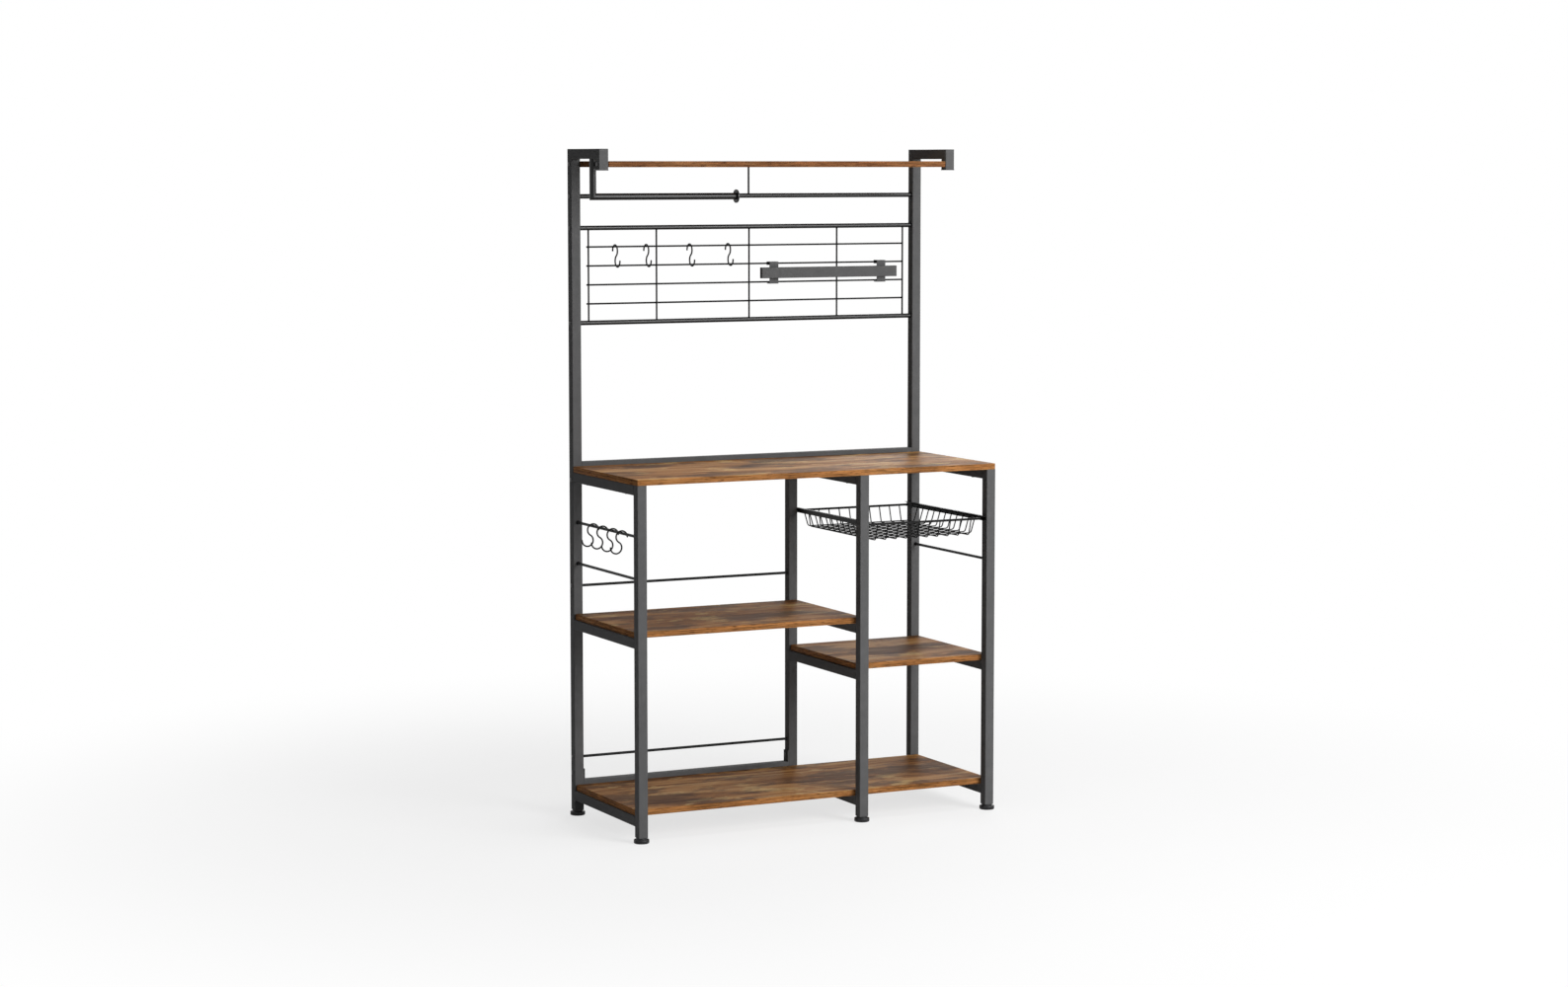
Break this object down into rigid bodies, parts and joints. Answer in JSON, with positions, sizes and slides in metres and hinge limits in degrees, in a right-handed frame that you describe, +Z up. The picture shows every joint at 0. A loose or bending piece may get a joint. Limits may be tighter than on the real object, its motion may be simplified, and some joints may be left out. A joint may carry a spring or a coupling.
{
  "type": "bakers rack",
  "caption": "Free-standing kitchen rack of dark square tube with wooden boards, a wire back panel with hooks and knife bar, a towel bar and a pull-out wire basket.",
  "frame": {"origin": "on the floor, under the middle of the rack's width and depth", "axes": "+Z up, -Y out of the front, +X to the right seen from the front"},
  "size_m": [1.0262, 0.4384, 1.6945],
  "materials": {
    "frame": "satin powder coat",
    "wire": "satin powder coat",
    "board": "brown rustic grain, satin",
    "black_plastic": "matte",
    "fastener": "black zinc",
    "magnet": "plain"
  },
  "bodies": {
    "rack": {"basket_runner_left": "wire", "basket_runner_right": "wire", "board_screws": "fastener", "bottom_shelf": "board", "desk_top": "board", "foot_plugs": "black_plastic", "frame_bolts": "fastener", "front_left_post": "frame", "front_middle_post": "frame", "front_right_post": "frame", "left_guard_rod": "wire", "left_hook_rod": "wire", "left_shelf": "board", "left_side_rails": "frame", "middle_side_rails": "frame", "panel_bottom_rail": "wire", "panel_level_wires": "wire", "panel_top_rail": "wire", "panel_upright_wires": "wire", "plate_nuts": "fastener", "rear_bottom_rail": "frame", "rear_desk_rail": "frame", "rear_left_post": "frame", "rear_middle_post": "frame", "rear_rail_plates": "frame", "rear_right_post": "frame", "rear_rods": "wire", "right_guard_rod": "wire", "right_shelf": "board", "right_side_rails": "frame", "shelf_rail": "wire", "shelf_strut": "wire", "top_arm_left": "frame", "top_arm_right": "frame", "top_shelf": "board", "towel_bar": "wire", "towel_drop_tube": "wire", "towel_stop": "wire", "tube_end_caps": "black_plastic"},
    "basket": {"basket_rim": "wire", "basket_wall_wires": "wire", "basket_floor_wires": "wire"},
    "knife_strip": {"knife_bar": "frame", "knife_magnet": "magnet", "knife_clips": "frame"},
    "panel_hook_1_body": {"panel_hook_1": "wire"},
    "side_hook_1_body": {"side_hook_1": "wire"},
    "panel_hook_2_body": {"panel_hook_2": "wire"},
    "side_hook_2_body": {"side_hook_2": "wire"},
    "panel_hook_3_body": {"panel_hook_3": "wire"},
    "side_hook_3_body": {"side_hook_3": "wire"},
    "panel_hook_4_body": {"panel_hook_4": "wire"},
    "side_hook_4_body": {"side_hook_4": "wire"},
    "front_left_foot_body": {"front_left_foot": "black_plastic"},
    "front_middle_foot_body": {"front_middle_foot": "black_plastic"},
    "front_right_foot_body": {"front_right_foot": "black_plastic"},
    "rear_left_foot_body": {"rear_left_foot": "black_plastic"},
    "rear_middle_foot_body": {"rear_middle_foot": "black_plastic"},
    "rear_right_foot_body": {"rear_right_foot": "black_plastic"}
  },
  "joints": [
    {"name": "basket_slide", "type": "slide", "parent": "rack", "child": "basket", "axis": [0, -1, 0], "range_m": [0, 0.28]},
    {"name": "knife_strip_slide", "type": "slide", "parent": "rack", "child": "knife_strip", "axis": [1, 0, 0], "range_m": [-0.045, 0.045]},
    {"name": "panel_hook_1_swing", "type": "hinge", "parent": "rack", "child": "panel_hook_1_body", "pos_m": [-0.3748, 0.2023, 1.4487], "axis": [-1, 0, 0], "range_deg": [0, 60]},
    {"name": "panel_hook_2_swing", "type": "hinge", "parent": "rack", "child": "panel_hook_2_body", "pos_m": [-0.2884, 0.2023, 1.4487], "axis": [-1, 0, 0], "range_deg": [0, 60]},
    {"name": "panel_hook_3_swing", "type": "hinge", "parent": "rack", "child": "panel_hook_3_body", "pos_m": [-0.167, 0.2023, 1.4487], "axis": [-1, 0, 0], "range_deg": [0, 60]},
    {"name": "panel_hook_4_swing", "type": "hinge", "parent": "rack", "child": "panel_hook_4_body", "pos_m": [-0.0582, 0.2023, 1.4487], "axis": [-1, 0, 0], "range_deg": [0, 60]},
    {"name": "side_hook_1_swing", "type": "hinge", "parent": "rack", "child": "side_hook_1_body", "pos_m": [-0.4875, 0.09, 0.7534], "axis": [0, 1, 0], "range_deg": [-45, 60]},
    {"name": "side_hook_2_swing", "type": "hinge", "parent": "rack", "child": "side_hook_2_body", "pos_m": [-0.4875, 0.03, 0.7534], "axis": [0, 1, 0], "range_deg": [-45, 60]},
    {"name": "side_hook_3_swing", "type": "hinge", "parent": "rack", "child": "side_hook_3_body", "pos_m": [-0.4875, -0.033, 0.7534], "axis": [0, 1, 0], "range_deg": [-45, 60]},
    {"name": "side_hook_4_swing", "type": "hinge", "parent": "rack", "child": "side_hook_4_body", "pos_m": [-0.4875, -0.088, 0.7534], "axis": [0, 1, 0], "range_deg": [-45, 60]},
    {"name": "front_left_foot_turn", "type": "hinge", "parent": "rack", "child": "front_left_foot_body", "pos_m": [-0.4875, -0.2, 0], "axis": [0, 0, 1], "continuous": true},
    {"name": "front_middle_foot_turn", "type": "hinge", "parent": "rack", "child": "front_middle_foot_body", "pos_m": [0.1228, -0.2, 0], "axis": [0, 0, 1], "continuous": true},
    {"name": "front_right_foot_turn", "type": "hinge", "parent": "rack", "child": "front_right_foot_body", "pos_m": [0.4875, -0.2, 0], "axis": [0, 0, 1], "continuous": true},
    {"name": "rear_left_foot_turn", "type": "hinge", "parent": "rack", "child": "rear_left_foot_body", "pos_m": [-0.4875, 0.2, 0], "axis": [0, 0, 1], "continuous": true},
    {"name": "rear_middle_foot_turn", "type": "hinge", "parent": "rack", "child": "rear_middle_foot_body", "pos_m": [0.1228, 0.2, 0], "axis": [0, 0, 1], "continuous": true},
    {"name": "rear_right_foot_turn", "type": "hinge", "parent": "rack", "child": "rear_right_foot_body", "pos_m": [0.4875, 0.2, 0], "axis": [0, 0, 1], "continuous": true}
  ]
}
